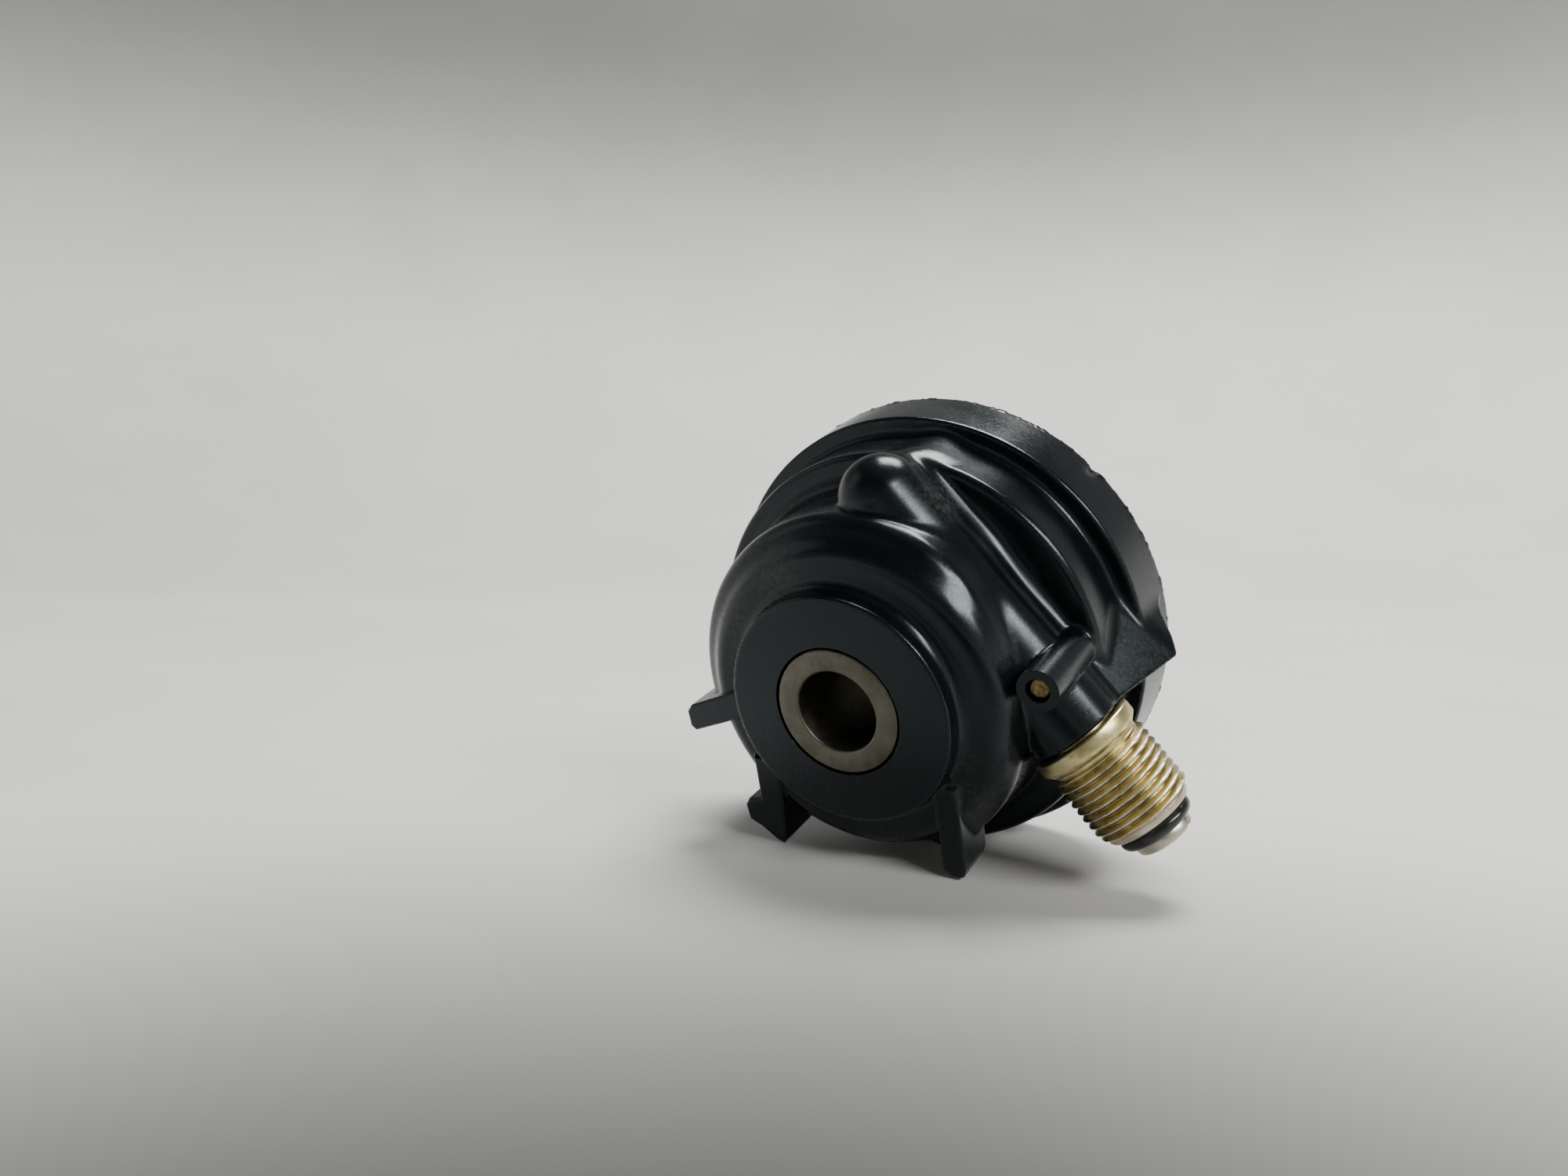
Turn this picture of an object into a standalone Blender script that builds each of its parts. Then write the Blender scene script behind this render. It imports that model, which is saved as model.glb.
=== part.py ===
"""Speedometer drive gearbox for the front axle of a small motorcycle.

A moulded housing slips over the wheel axle on a steel sleeve.  The wheel hub turns
the meter clutch, which carries the helical drive gear round the sleeve.  The drive
gear turns a small helical pinion in the tangential tube, and the pinion turns the
speedometer cable that screws on to the threaded fitting.

Frame: metres, +Z up, as the unit lies on a bench.  The origin is on the axle line in
the front (fork side) face of the sleeve.  The unit rests on its two locating tabs and
on the rim of the flange, so the axle line rises towards the wheel side by REST_TILT.
Shapes are laid out with the axle along +Y and then turned by REST about +X.
"""

import math

import bmesh
import bpy
from mathutils import Matrix, Vector

MM = 0.001

# ------------------------------------------------------------------ dimensions, mm
AXLE_BORE_R = 5.0          # 10 mm axle
SLEEVE_R = 7.75
SLEEVE_Y0, SLEEVE_Y1 = 0.0, 31.4
SEG = 60

DISC_R = 14.07             # flat front disc round the sleeve
BASE_R = 19.3              # step behind the disc
SHOULDER_R = 21.7
DRUM_R = 25.9
DRUM_Y = 16.0
FLANGE_R0, FLANGE_R1 = 28.35, 28.85
FLANGE_Y0, FLANGE_Y1 = 23.6, 31.7

GEAR_ROOM_R = 13.8         # room for the drive gear
GEAR_ROOM_Y0 = 4.0
CLUTCH_ROOM_R = 23.4       # room for the meter clutch
CLUTCH_ROOM_Y0 = 17.8
SEAL_SEAT_R = 24.6
SEAL_SEAT_Y0 = 26.5

PINION_ANGLE = math.radians(51.8)   # pinion axis below +X, seen from the front
PINION_Y = 12.0            # pinion axis distance behind the front face
PINION_W = 15.65           # pinion axis distance from the axle axis
TUBE_R = 5.2
TUBE_S0, TUBE_S1 = -15.5, 18.7      # dome centre and mouth of the pinion tube

CENTRE_DISTANCE = PINION_W
GEAR_TEETH, PINION_TEETH = 24, 8
PINION_PITCH_R = 3.2
GEAR_PITCH_R = CENTRE_DISTANCE - PINION_PITCH_R
ADDENDUM, DEDENDUM = 0.5, 0.78

PIN_S, PIN_W, PIN_R = 11.35, 19.9, 1.15   # cross pin that holds the cable fitting
BOSS_R, BOSS_Y = 2.4, 4.2

THREAD_R, THREAD_PITCH = 6.0, 1.0   # M12 x 1 cable thread
COLLAR_R = 6.25

# directions: P runs along the pinion axis to the cable, Q from the axle to it
P = Vector((math.cos(PINION_ANGLE), 0.0, -math.sin(PINION_ANGLE)))
Q = Vector((math.sin(PINION_ANGLE), 0.0, math.cos(PINION_ANGLE)))
Y = Vector((0.0, 1.0, 0.0))

# lying on the two tab tips (2 mm behind the front face) and the front rim of the flange
TAB_TIP_Z = -21.0
REST_TILT = math.atan2(FLANGE_R0 + TAB_TIP_Z, FLANGE_Y0 + 0.4 - 2.0)
REST = Matrix.Rotation(REST_TILT, 4, "X")

# turns local +Z on to an axis
AXLE_M = Matrix(((1, 0, 0, 0), (0, 0, 1, 0), (0, -1, 0, 0), (0, 0, 0, 1)))


def pinion_matrix():
    """Local z along P, local x along Q, local origin on the pinion axis at s = 0."""
    m = Matrix((Q, P.cross(Q), P)).transposed().to_4x4()
    m.translation = (Q * PINION_W + Y * PINION_Y) * MM
    return m


# ------------------------------------------------------------------ scene and tools
for old in list(bpy.data.objects):
    bpy.data.objects.remove(old, do_unlink=True)


def material(name, colour, roughness, metallic):
    m = bpy.data.materials.new(name)
    m.use_nodes = True
    b = m.node_tree.nodes["Principled BSDF"]
    b.inputs["Base Color"].default_value = (*colour, 1.0)
    b.inputs["Roughness"].default_value = roughness
    b.inputs["Metallic"].default_value = metallic
    return m


BLACK = material("black_plastic", (0.012, 0.012, 0.013), 0.42, 0.0)
RUBBER = material("black_rubber", (0.018, 0.018, 0.018), 0.6, 0.0)
STEEL = material("steel", (0.42, 0.40, 0.36), 0.38, 1.0)
BRIGHT = material("bright_steel", (0.62, 0.61, 0.58), 0.28, 1.0)
PASSIVATED = material("yellow_passivated_steel", (0.72, 0.62, 0.36), 0.3, 1.0)
BRASS = material("brass", (0.42, 0.33, 0.15), 0.5, 1.0)
NYLON = material("natural_nylon", (0.78, 0.75, 0.66), 0.45, 0.0)


def finish(name, bm, mat, matrix=None, smooth=35.0):
    bmesh.ops.recalc_face_normals(bm, faces=bm.faces[:])
    mesh = bpy.data.meshes.new(name)
    bm.to_mesh(mesh)
    bm.free()
    mesh.shade_smooth()
    mesh.set_sharp_from_angle(angle=math.radians(smooth))
    obj = bpy.data.objects.new(name, mesh)
    bpy.context.scene.collection.objects.link(obj)
    obj.data.materials.append(mat)
    obj.matrix_world = REST @ (matrix if matrix is not None else Matrix.Identity(4))
    return obj


def turned(profile, steps=SEG):
    """A closed (radius, height) profile turned about local z, in mm; a point at radius 0 is on the axis."""
    bm = bmesh.new()
    rings = []
    for r, h in profile:
        if r < 1e-6:
            rings.append([bm.verts.new((0, 0, h * MM))])
        else:
            rings.append([
                bm.verts.new((r * MM * math.cos(2 * math.pi * i / steps), r * MM * math.sin(2 * math.pi * i / steps), h * MM))
                for i in range(steps)
            ])
    n = len(rings)
    for k in range(n):
        a, b = rings[k], rings[(k + 1) % n]
        if len(a) == 1 and len(b) == 1:
            continue
        for i in range(steps):
            j = (i + 1) % steps
            if len(a) == 1:
                bm.faces.new((a[0], b[i], b[j]))
            elif len(b) == 1:
                bm.faces.new((a[i], b[0], a[j]))
            else:
                bm.faces.new((a[i], b[i], b[j], a[j]))
    return bm


def sector(profile, a0, a1, steps):
    """A closed (radius, height) profile swept about local z from a0 to a1 degrees, with flat ends."""
    bm = bmesh.new()
    rings = []
    for i in range(steps + 1):
        a = math.radians(a0 + (a1 - a0) * i / steps)
        rings.append([bm.verts.new((r * MM * math.cos(a), r * MM * math.sin(a), h * MM)) for r, h in profile])
    n = len(profile)
    for i in range(steps):
        for k in range(n):
            m = (k + 1) % n
            bm.faces.new((rings[i][k], rings[i][m], rings[i + 1][m], rings[i + 1][k]))
    bm.faces.new(rings[0])
    bm.faces.new(rings[-1])
    return bm


def hull(points):
    """The convex solid round a set of points, in mm."""
    bm = bmesh.new()
    for co in points:
        bm.verts.new(Vector(co) * MM)
    out = bmesh.ops.convex_hull(bm, input=bm.verts[:])
    bmesh.ops.delete(bm, geom=list({e for e in out["geom_interior"] if isinstance(e, bmesh.types.BMVert)}), context="VERTS")
    return bm


def cutter(obj):
    obj.hide_render = True
    obj.display_type = "WIRE"
    return obj


def boolean(obj, other, operation):
    m = obj.modifiers.new(operation.lower() + "_" + other.name, "BOOLEAN")
    m.operation = operation
    m.solver = "EXACT"
    m.object = cutter(other)


def swp(s, w, y):
    """Point at s along the pinion axis, w out from the axle, y back from the front."""
    return P * s + Q * w + Y * y


# axle-axis pieces are turned in local z, with local z laid on +Y
def axle_piece(name, profile, mat, steps=SEG):
    return finish(name, turned(profile, steps), mat, AXLE_M)


def pinion_piece(name, profile, mat, steps=48):
    return finish(name, turned(profile, steps), mat, pinion_matrix())


# ------------------------------------------------------------------ housing
def rounded(r, h, rho, a0, a1, n):
    """Points of a rounded corner with centre (r, h)."""
    return [
        (r + rho * math.cos(math.radians(a0 + (a1 - a0) * i / n)), h + rho * math.sin(math.radians(a0 + (a1 - a0) * i / n)))
        for i in range(n + 1)
    ]


outer_profile = (
    [(0.0, 0.0), (DISC_R - 0.3, 0.0), (DISC_R, 0.3), (DISC_R + 0.1, 1.4), (DISC_R + 0.7, 2.3), (DISC_R + 1.8, 2.7)]
    + rounded(BASE_R - 2.2, 4.9, 2.2, -80, 0, 4)
    + [(BASE_R + 0.25, DRUM_Y - 1.2), (BASE_R + 1.2, DRUM_Y), (DRUM_R - 0.9, DRUM_Y), (DRUM_R - 0.25, DRUM_Y + 0.3), (DRUM_R, DRUM_Y + 0.9)]
    + [(DRUM_R + 0.15, FLANGE_Y0 - 0.8), (DRUM_R + 0.9, FLANGE_Y0), (FLANGE_R0 - 0.4, FLANGE_Y0), (FLANGE_R0, FLANGE_Y0 + 0.4)]
    + [(FLANGE_R1, FLANGE_Y1), (0.0, FLANGE_Y1)]
)
housing = axle_piece("housing", outer_profile, BLACK)

# the shoulder, left out between the two locating tabs underneath and the side tab
shoulder_profile = (
    [(17.0, 4.4)]
    + rounded(SHOULDER_R - 2.4, 6.8, 2.4, -90, 0, 5)
    + [(SHOULDER_R + 0.3, DRUM_Y + 0.7), (17.0, DRUM_Y + 0.7)]
)
# in the turned frame an angle of a is a point at (cos a, -sin a) in X and Z
shoulder = finish("shoulder_mass", sector(shoulder_profile, -197.0, 66.0, 54), BLACK, AXLE_M)
boolean(housing, shoulder, "UNION")

# pinion tube with a domed inner end
dome = [(0.0, TUBE_S0 - TUBE_R)] + [
    (TUBE_R * math.sin(math.radians(a)), TUBE_S0 - TUBE_R * math.cos(math.radians(a))) for a in (18, 36, 54, 72, 90)
]
tube = finish("tube_mass", turned(dome + [(TUBE_R + 0.15, TUBE_S1), (0.0, TUBE_S1)], 40), BLACK, pinion_matrix())
boolean(housing, tube, "UNION")


def wall_w(s, y):
    """Distance of the slanted outer wall from the axle."""
    return min(20.45 + 0.42 * (y - 14.1), 21.9 + 0.09 * (s + 13.5) + 0.03 * (y - 16.0))


# block and gusset that carry the tube back to the flange, with a slanted flat outer wall
block_points = [swp(s, 9.0, y) for s, y in ((-17.2, 15.6), (-17.2, 25.3), (-14.6, 13.2), (18.55, 13.2), (19.9, 24.5), (13.2, 30.55))]
for y in (15.6, 18.0, 25.3):
    block_points += [swp(-17.2, wall_w(-17.2, y) - 2.4, y), swp(-14.6, wall_w(-14.6, y), y)]
block_points += [swp(-14.6, 20.25, 13.6), swp(18.55, 20.25, 13.6)]
for s, y in ((18.7, 15.0), (19.3, 19.6), (19.9, 24.5), (16.4, 27.5), (13.2, 30.55)):
    block_points.append(swp(s, wall_w(s, y), y))
block = finish("block_mass", hull(block_points), BLACK)
boolean(housing, block, "UNION")

# boss round the retaining pin
boss_m = AXLE_M.copy()
boss_m.translation = (P * PIN_S + Q * PIN_W) * MM
boss = finish("boss_mass", turned([(0.0, BOSS_Y), (BOSS_R, BOSS_Y), (BOSS_R, 17.5), (0.0, 17.5)], 32), BLACK, boss_m)
boolean(housing, boss, "UNION")


def plate(name, corners, y0, y1):
    """A flat tab: an outline in X and Z between two heights on the axle."""
    bm = bmesh.new()
    a = [bm.verts.new((x * MM, y0 * MM, z * MM)) for x, z in corners]
    b = [bm.verts.new((x * MM, y1 * MM, z * MM)) for x, z in corners]
    n = len(corners)
    bm.faces.new(a)
    bm.faces.new(b)
    for i in range(n):
        bm.faces.new((a[i], a[(i + 1) % n], b[(i + 1) % n], b[i]))
    return finish(name, bm, BLACK)


TAB_Y0, TAB_Y1 = 2.0, 8.6
tab_side = plate("tab_side_mass", [(-14.0, 0.35), (-22.9, -3.0), (-23.6, -3.9), (-23.5, -5.9), (-22.8, -6.5), (-14.0, -3.3)], TAB_Y0 + 0.05, TAB_Y1)
tab_toe = plate("tab_toe_mass", [(-14.35, -9.0), (-14.35, -14.9), (-16.3, -15.3), (-16.9, -16.2), (-16.6, -18.3), (-14.9, -19.1), (-12.9, -20.6), (-11.9, -21.0), (-11.35, -20.3), (-10.7, -9.0)], TAB_Y0, TAB_Y1 + 0.05)
tab_low = plate("tab_low_mass", [(10.1, -9.0), (10.1, -19.9), (10.7, -20.6), (12.1, -20.9), (12.7, -20.6), (12.95, -19.8), (12.95, -9.0)], TAB_Y0 - 0.05, TAB_Y1 - 0.05)
for t in (tab_side, tab_toe, tab_low):
    boolean(housing, t, "UNION")

# the inside, from the front: sleeve bore, gear room, clutch room, seal seat
SLEEVE_SEAT_R = 8.0
rooms = cutter(finish("rooms", turned([
    (0.0, -3.0), (SLEEVE_SEAT_R, -3.0), (SLEEVE_SEAT_R, GEAR_ROOM_Y0), (GEAR_ROOM_R, GEAR_ROOM_Y0), (GEAR_ROOM_R, CLUTCH_ROOM_Y0),
    (CLUTCH_ROOM_R, CLUTCH_ROOM_Y0), (CLUTCH_ROOM_R, SEAL_SEAT_Y0), (SEAL_SEAT_R, SEAL_SEAT_Y0), (SEAL_SEAT_R, FLANGE_Y1 - 0.5),
    (SEAL_SEAT_R + 1.5, FLANGE_Y1 + 1.0), (0.0, FLANGE_Y1 + 1.0)], SEG), BLACK, AXLE_M @ Matrix.Rotation(math.pi / SEG, 4, "Z")))

# hole for the retaining pin, from the front of the boss past the fitting
pin_hole = cutter(finish("pin_hole", turned([(0.0, BOSS_Y - 2.0), (PIN_R + 0.22, BOSS_Y - 2.0), (PIN_R + 0.22, 16.3), (0.0, 16.3)], 24), BLACK, boss_m))
boolean(rooms, pin_hole, "UNION")

# the tube is bored from its mouth: pinion room, blind bearing, seat for the fitting
PINION_ROOM_R, PINION_ROOM_S0 = 4.3, -7.2
FITTING_SEAT_R, FITTING_SEAT_S0 = 4.55, 7.2
BEARING_R, BEARING_S0 = 2.3, -15.2
tube_bore = cutter(finish("tube_bore", turned([
    (0.0, BEARING_S0), (BEARING_R, BEARING_S0), (BEARING_R, PINION_ROOM_S0), (PINION_ROOM_R, PINION_ROOM_S0),
    (PINION_ROOM_R, FITTING_SEAT_S0), (FITTING_SEAT_R, FITTING_SEAT_S0), (FITTING_SEAT_R, 22.0), (0.0, 22.0)], 40), BLACK, pinion_matrix() @ Matrix.Rotation(math.pi / 40, 4, "Z")))
boolean(rooms, tube_bore, "UNION")

# clearance round the collar of the fitting, cut back into the drum and shoulder
COLLAR_ROOM_R = 6.85
collar_room = cutter(finish("collar_room", turned([(0.0, TUBE_S1 + 0.06), (COLLAR_ROOM_R, TUBE_S1 + 0.06), (COLLAR_ROOM_R, 32.0), (0.0, 32.0)], 36), BLACK, pinion_matrix() @ Matrix.Rotation(0.03, 4, "Z")))
boolean(rooms, collar_room, "UNION")

# cores in the thick shoulder, open towards the clutch room
for k, (a0, a1, n) in enumerate(((-188.0, -108.0, 16), (30.0, 56.0, 6))):
    core = cutter(finish(f"core_{k}", sector([(15.6, 8.0), (19.2, 8.0), (19.2, 19.0), (15.6, 19.0)], a0, a1, n), BLACK, AXLE_M))
    boolean(rooms, core, "UNION")
boolean(housing, rooms, "DIFFERENCE")

# ------------------------------------------------------------------ pieces on the axle
axle_piece("axle_sleeve", [
    (AXLE_BORE_R + 0.4, SLEEVE_Y0), (SLEEVE_R - 0.25, SLEEVE_Y0), (SLEEVE_R, SLEEVE_Y0 + 0.25), (SLEEVE_R, SLEEVE_Y1 - 0.25),
    (SLEEVE_R - 0.25, SLEEVE_Y1), (AXLE_BORE_R + 0.4, SLEEVE_Y1), (AXLE_BORE_R, SLEEVE_Y1 - 0.4), (AXLE_BORE_R, SLEEVE_Y0 + 0.4)], STEEL, 44)

axle_piece("gear_washer_front", [(8.15, 4.3), (12.2, 4.3), (12.2, 5.1), (8.15, 5.1)], BRIGHT, 40)
axle_piece("gear_washer_rear", [(8.15, 22.3), (12.0, 22.3), (12.0, 23.1), (8.15, 23.1)], BRIGHT, 40)


def helical(r_root, r_tip, teeth, h0, h1, twist, slices, phase, thin):
    """A solid helical gear with flat-sided teeth, turned by twist (radians per mm) along local z."""
    bm = bmesh.new()
    rings = []
    pitch = 2 * math.pi / teeth
    half_root, half_tip = 0.5 * pitch * thin[0], 0.5 * pitch * thin[1]
    mid = 0.5 * (h0 + h1)
    for k in range(slices + 1):
        h = h0 + (h1 - h0) * k / slices
        turn = phase + twist * (h - mid)
        ring = []
        for t in range(teeth):
            c = turn + t * pitch
            for da, r in ((-half_root, r_root), (-half_tip, r_tip), (half_tip, r_tip), (half_root, r_root)):
                ring.append(bm.verts.new((r * MM * math.cos(c + da), r * MM * math.sin(c + da), h * MM)))
        rings.append(ring)
    n = 4 * teeth
    for k in range(slices):
        for i in range(n):
            j = (i + 1) % n
            bm.faces.new((rings[k][i], rings[k][j], rings[k + 1][j], rings[k + 1][i]))
    bm.faces.new(rings[0])
    bm.faces.new(rings[-1])
    return bm


# Crossed helical pair on axes at 90 degrees: tan(helix of the gear) sets the ratio.
TAN_HELIX = GEAR_PITCH_R / PINION_PITCH_R * PINION_TEETH / GEAR_TEETH
GEAR_TWIST = TAN_HELIX / GEAR_PITCH_R            # about +Y
PINION_TWIST = 1.0 / (TAN_HELIX * PINION_PITCH_R)  # about +P
# AXLE_M lays local z on +Y, so a turn about local z is a turn about +Y; Q is at this local angle
Q_LOCAL = math.atan2(-Q.z, Q.x)
GEAR_Y0, GEAR_Y1 = 7.2, 16.8
drive_gear_bm = helical(GEAR_PITCH_R - DEDENDUM, GEAR_PITCH_R + ADDENDUM, GEAR_TEETH, GEAR_Y0, GEAR_Y1, GEAR_TWIST, 6, Q_LOCAL, (0.56, 0.2))
drive_gear = finish("drive_gear", drive_gear_bm, NYLON, AXLE_M, 25.0)
# plain rims in front of and behind the teeth that run on the washers and carry the clutch dogs
front_rim = finish("gear_front_rim", turned([(0.0, 5.4), (11.2, 5.4), (11.2, 7.6), (0.0, 7.6)], 40), NYLON, AXLE_M)
boolean(drive_gear, front_rim, "UNION")
rear_rim = finish("gear_rear_rim", turned([(0.0, 16.4), (11.4, 16.4), (11.4, 18.6), (0.0, 18.6)], 40), NYLON, AXLE_M)
boolean(drive_gear, rear_rim, "UNION")


def axle_box(name, ang, half, r0, r1, y0, y1):
    """A small block on the axle frame at an angle about +Y."""
    a = math.radians(ang)
    e, f = Vector((math.cos(a), 0, -math.sin(a))), Vector((math.sin(a), 0, math.cos(a)))
    pts = [e * r + f * t + Y * y for r in (r0, r1) for t in (-half, half) for y in (y0, y1)]
    return finish(name, hull(pts), STEEL)


# two dogs on the gear's rear rim fit two slots in the clutch plate
for k, ang in enumerate((0.0, 180.0)):
    boolean(drive_gear, axle_box(f"gear_dog_{k}", ang, 1.7, 8.6, 11.2, 18.3, 21.6), "UNION")

gear_bore = cutter(finish("gear_bore", turned([(0.0, 0.0), (8.2, 0.0), (8.2, 30.0), (0.0, 30.0)], 40), NYLON, AXLE_M))
boolean(drive_gear, gear_bore, "DIFFERENCE")

# meter clutch: a pressed plate on the rear rim, with two ears that reach back into the wheel hub
clutch = axle_piece("meter_clutch", [(8.3, 19.1), (21.6, 19.1), (22.2, 19.5), (22.2, 20.9), (21.6, 21.3), (8.3, 21.3)], STEEL, SEG)
for k, ang in enumerate((90.0, 270.0)):
    boolean(clutch, axle_box(f"ear_{k}", ang, 3.0, 13.4, 15.2, 20.2, 30.6), "UNION")
for k, ang in enumerate((0.0, 180.0)):
    boolean(clutch, cutter(axle_box(f"dog_slot_{k}", ang, 2.0, 7.6, 11.6, 18.0, 22.4)), "DIFFERENCE")
for k, ang in enumerate((35.0, 145.0, 215.0, 325.0)):
    m = AXLE_M.copy()
    a = math.radians(ang)
    m.translation = (Vector((math.cos(a), 0, -math.sin(a))) * 17.2) * MM
    boolean(clutch, cutter(finish(f"clutch_hole_{k}", turned([(0.0, 18.0), (2.1, 18.0), (2.1, 22.4), (0.0, 22.4)], 20), STEEL, m)), "DIFFERENCE")

# snap ring in a groove of the sleeve keeps gear, clutch and washer on it
groove = cutter(finish("snap_groove", turned([(7.0, 23.3), (9.0, 23.3), (9.0, 25.0), (7.0, 25.0)], 44), STEEL, AXLE_M))
boolean(bpy.data.objects["axle_sleeve"], groove, "DIFFERENCE")
snap = finish("snap_ring", sector([(7.3, 23.6), (9.4, 23.6), (9.4, 24.7), (7.3, 24.7)], 12, 348, 34), BRIGHT, AXLE_M)

# dust seal in the mouth of the housing: steel case, rubber lip and the spring behind the lip
axle_piece("seal_case", [(23.6, 26.8), (24.3, 26.8), (24.3, 31.1), (24.0, 31.4), (21.4, 31.4), (21.4, 30.7), (23.6, 30.7)], STEEL, 52)
axle_piece("dust_seal", [
    (23.3, 26.9), (23.3, 30.4), (21.1, 30.4), (21.1, 31.3), (20.4, 31.5), (18.0, 30.8), (17.5, 30.2), (18.4, 29.3),
    (18.5, 27.2), (20.2, 26.9), (20.4, 29.6), (22.3, 29.6), (22.5, 26.9)], RUBBER, 52)
ring = []
for i in range(6):
    a = 2 * math.pi * i / 6
    ring.append((21.35 + 0.42 * math.cos(a), 28.6 + 0.42 * math.sin(a)))
axle_piece("seal_spring", ring, BRIGHT, 36)

# ------------------------------------------------------------------ pieces on the pinion axis
pinion_piece("pinion_washer_inner", [(2.35, -6.9), (3.9, -6.9), (3.9, -6.3), (2.35, -6.3)], BRIGHT, 28)
pinion_piece("pinion_washer_outer", [(2.35, 6.3), (3.9, 6.3), (3.9, 6.9), (2.35, 6.9)], BRIGHT, 28)
pinion_bm = helical(PINION_PITCH_R - DEDENDUM, PINION_PITCH_R + ADDENDUM, PINION_TEETH, -6.0, 6.0, PINION_TWIST, 16, math.pi + math.pi / PINION_TEETH, (0.62, 0.24))
pinion_gear = finish("pinion_gear", pinion_bm, NYLON, pinion_matrix(), 25.0)
pinion_bore = cutter(finish("pinion_bore", turned([(0.0, -9.0), (2.15, -9.0), (2.15, 9.0), (0.0, 9.0)], 24), NYLON, pinion_matrix()))
boolean(pinion_gear, pinion_bore, "DIFFERENCE")

SHAFT_R = 1.9
shaft = pinion_piece("pinion_shaft", [(0.0, -14.6), (SHAFT_R - 0.3, -14.6), (SHAFT_R, -14.2), (SHAFT_R, 25.4), (SHAFT_R - 0.25, 25.7), (0.0, 25.7)], STEEL, 32)
# square socket that takes the end of the speedometer cable
h = 1.2
socket = cutter(finish("cable_socket", hull([(x, y, z) for x in (-h, h) for y in (-h, h) for z in (17.5, 27.0)]), STEEL, pinion_matrix()))
boolean(shaft, socket, "DIFFERENCE")

# threaded cable fitting: shank in the tube with pin groove and seal groove, collar, M12 x 1 thread, spigot
PIN_GROOVE = (PIN_S - 1.5, PIN_S + 1.5)
FIT_BORE = 2.25
shank_r = 4.25
fitting_profile = [(FIT_BORE, 7.5), (shank_r - 0.4, 7.5), (shank_r, 7.9), (shank_r, PIN_GROOVE[0]), (2.9, PIN_GROOVE[0]), (2.9, PIN_GROOVE[1]),
                   (shank_r, PIN_GROOVE[1]), (shank_r, 14.4), (3.05, 14.4), (3.05, 16.2), (shank_r, 16.2), (shank_r, 18.95),
                   (COLLAR_R - 0.35, 18.95), (COLLAR_R, 19.3), (COLLAR_R, 20.5), (COLLAR_R - 0.7, 21.1), (5.3, 21.1), (5.3, 21.9)]
crest = 22.0
while crest < 28.9:
    fitting_profile += [(5.35, crest), (THREAD_R, crest + 0.5)]
    crest += THREAD_PITCH
fitting_profile += [(5.35, crest), (5.3, 29.9), (4.95, 30.25), (2.9, 30.25), (2.9, 32.1), (3.52, 32.1), (3.52, 33.5), (3.2, 33.85), (2.6, 33.85), (2.6, 26.6), (FIT_BORE, 26.6)]
fitting = pinion_piece("cable_fitting", fitting_profile, PASSIVATED, 32)
# keyway across the end of the spigot
key = cutter(finish("spigot_keyway", hull([swp(s, PINION_W + t, PINION_Y + d) for s in (32.7, 35.0) for t in (2.2, 4.4) for d in (-0.6, 0.6)]), PASSIVATED))
boolean(fitting, key, "DIFFERENCE")


def o_ring(name, major, minor, at, steps=28, sides=8):
    pts = [(major + minor * math.cos(2 * math.pi * i / sides), at + minor * math.sin(2 * math.pi * i / sides)) for i in range(sides)]
    return pinion_piece(name, pts, RUBBER, steps)


o_ring("shank_o_ring", 3.8, 0.5, 15.3)
o_ring("spigot_o_ring", 3.75, 0.72, 31.17)

# retaining pin through the boss, in the groove of the fitting
axle_pin = finish("retaining_pin", turned([(0.0, BOSS_Y + 0.55), (PIN_R - 0.2, BOSS_Y + 0.55), (PIN_R, BOSS_Y + 0.75), (PIN_R, 15.9), (0.0, 15.9)], 24), BRASS, boss_m)
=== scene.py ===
"""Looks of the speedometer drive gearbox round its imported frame.

Shapes are worked out in millimetres in the axle frame (axle along +Y, front face at y = 0)
and then turned by REST into the row frame, in which the unit lies on its tabs.
"""

import math

import bmesh
import bpy
import numpy as np
from mathutils import Matrix, Vector


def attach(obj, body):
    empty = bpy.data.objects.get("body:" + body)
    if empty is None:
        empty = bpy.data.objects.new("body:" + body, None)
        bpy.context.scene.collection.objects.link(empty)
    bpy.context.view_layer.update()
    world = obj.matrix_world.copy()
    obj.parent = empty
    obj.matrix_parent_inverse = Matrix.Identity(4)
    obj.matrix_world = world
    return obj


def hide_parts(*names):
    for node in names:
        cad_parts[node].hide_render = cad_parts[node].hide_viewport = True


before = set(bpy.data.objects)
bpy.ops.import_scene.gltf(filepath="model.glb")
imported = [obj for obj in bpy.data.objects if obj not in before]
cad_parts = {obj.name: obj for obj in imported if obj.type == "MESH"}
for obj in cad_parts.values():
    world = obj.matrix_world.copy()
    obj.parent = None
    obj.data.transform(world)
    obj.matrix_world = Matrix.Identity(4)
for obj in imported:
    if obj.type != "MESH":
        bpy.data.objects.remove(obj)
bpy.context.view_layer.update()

# ------------------------------------------------------------------ frame of the shapes
TILT = math.atan2(28.35 - 21.0, 24.0 - 2.0)
CT, ST = math.cos(TILT), math.sin(TILT)
REST = np.array([[1.0, 0.0, 0.0], [0.0, CT, -ST], [0.0, ST, CT]])
ANGLE = math.radians(51.8)
PX, PZ = math.cos(ANGLE), -math.sin(ANGLE)      # pinion axis P in X and Z
QX, QZ = math.sin(ANGLE), math.cos(ANGLE)       # out from the axle, Q
PINION_Y, PINION_W = 12.0, 15.65
FLOOR_Z = (2.0 * ST - 21.0 * CT) * 0.001


def row(points):
    """Axle-frame millimetres to row-frame metres."""
    return np.asarray(points, float) @ REST.T * 0.001


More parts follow.
